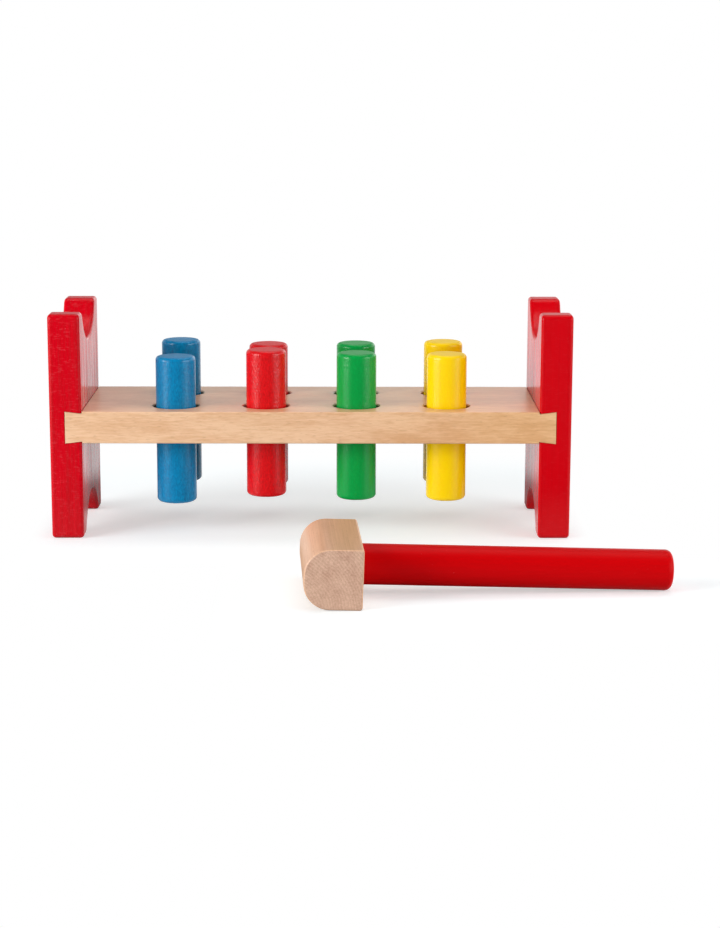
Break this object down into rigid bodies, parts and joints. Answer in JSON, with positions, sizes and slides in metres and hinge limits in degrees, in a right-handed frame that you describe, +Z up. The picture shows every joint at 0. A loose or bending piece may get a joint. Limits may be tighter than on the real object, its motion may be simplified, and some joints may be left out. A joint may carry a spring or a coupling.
{
  "type": "peg pounding bench",
  "caption": "Toy pounding bench: a wooden board between two scooped red end panels, with coloured pegs that slide through gripping holes, and a loose wooden mallet.",
  "frame": {"origin": "on the floor, under the middle of the box round the bench and the mallet that lies in front of it", "axes": "+X along the bench to the right, +Y towards the back, +Z up"},
  "size_m": [0.3245, 0.2437, 0.124],
  "materials": {
    "board_wood": "smooth sanded, clear satin lacquer",
    "panel_red": "red gloss paint on wood",
    "peg_blue": "blue gloss paint on wood",
    "peg_red": "red gloss paint on wood",
    "peg_green": "green gloss paint on wood",
    "peg_yellow": "yellow gloss paint on wood",
    "ring_rubber": "matt moulded",
    "head_wood": "smooth sanded, clear satin lacquer",
    "handle_red": "red gloss paint on wood"
  },
  "bodies": {
    "bench": {"bench_board": "board_wood", "left_end_panel": "panel_red", "right_end_panel": "panel_red", "grip_ring_front_1": "ring_rubber", "grip_ring_front_2": "ring_rubber", "grip_ring_front_3": "ring_rubber", "grip_ring_front_4": "ring_rubber", "grip_ring_back_1": "ring_rubber", "grip_ring_back_2": "ring_rubber", "grip_ring_back_3": "ring_rubber", "grip_ring_back_4": "ring_rubber"},
    "blue_peg_front": {"blue_peg_front": "peg_blue"},
    "red_peg_front": {"red_peg_front": "peg_red"},
    "green_peg_front": {"green_peg_front": "peg_green"},
    "yellow_peg_front": {"yellow_peg_front": "peg_yellow"},
    "blue_peg_back": {"blue_peg_back": "peg_blue"},
    "red_peg_back": {"red_peg_back": "peg_red"},
    "green_peg_back": {"green_peg_back": "peg_green"},
    "yellow_peg_back": {"yellow_peg_back": "peg_yellow"},
    "mallet": {"mallet_head": "head_wood", "mallet_handle": "handle_red"}
  },
  "joints": [
    {"name": "blue_peg_front_slide", "type": "slide", "parent": "bench", "child": "blue_peg_front", "axis": [0, 0, 1], "range_m": [-0.016, 0.0245]},
    {"name": "red_peg_front_slide", "type": "slide", "parent": "bench", "child": "red_peg_front", "axis": [0, 0, 1], "range_m": [-0.0197, 0.0208]},
    {"name": "green_peg_front_slide", "type": "slide", "parent": "bench", "child": "green_peg_front", "axis": [0, 0, 1], "range_m": [-0.018, 0.0225]},
    {"name": "yellow_peg_front_slide", "type": "slide", "parent": "bench", "child": "yellow_peg_front", "axis": [0, 0, 1], "range_m": [-0.0175, 0.023]},
    {"name": "blue_peg_back_slide", "type": "slide", "parent": "bench", "child": "blue_peg_back", "axis": [0, 0, 1], "range_m": [-0.0191, 0.0214]},
    {"name": "red_peg_back_slide", "type": "slide", "parent": "bench", "child": "red_peg_back", "axis": [0, 0, 1], "range_m": [-0.0169, 0.0236]},
    {"name": "green_peg_back_slide", "type": "slide", "parent": "bench", "child": "green_peg_back", "axis": [0, 0, 1], "range_m": [-0.0173, 0.0232]},
    {"name": "yellow_peg_back_slide", "type": "slide", "parent": "bench", "child": "yellow_peg_back", "axis": [0, 0, 1], "range_m": [-0.0182, 0.0223]},
    {"name": "mallet_lift", "type": "slide", "parent": "bench", "child": "mallet", "axis": [0, 0, 1], "range_m": [0, 0.15]}
  ]
}
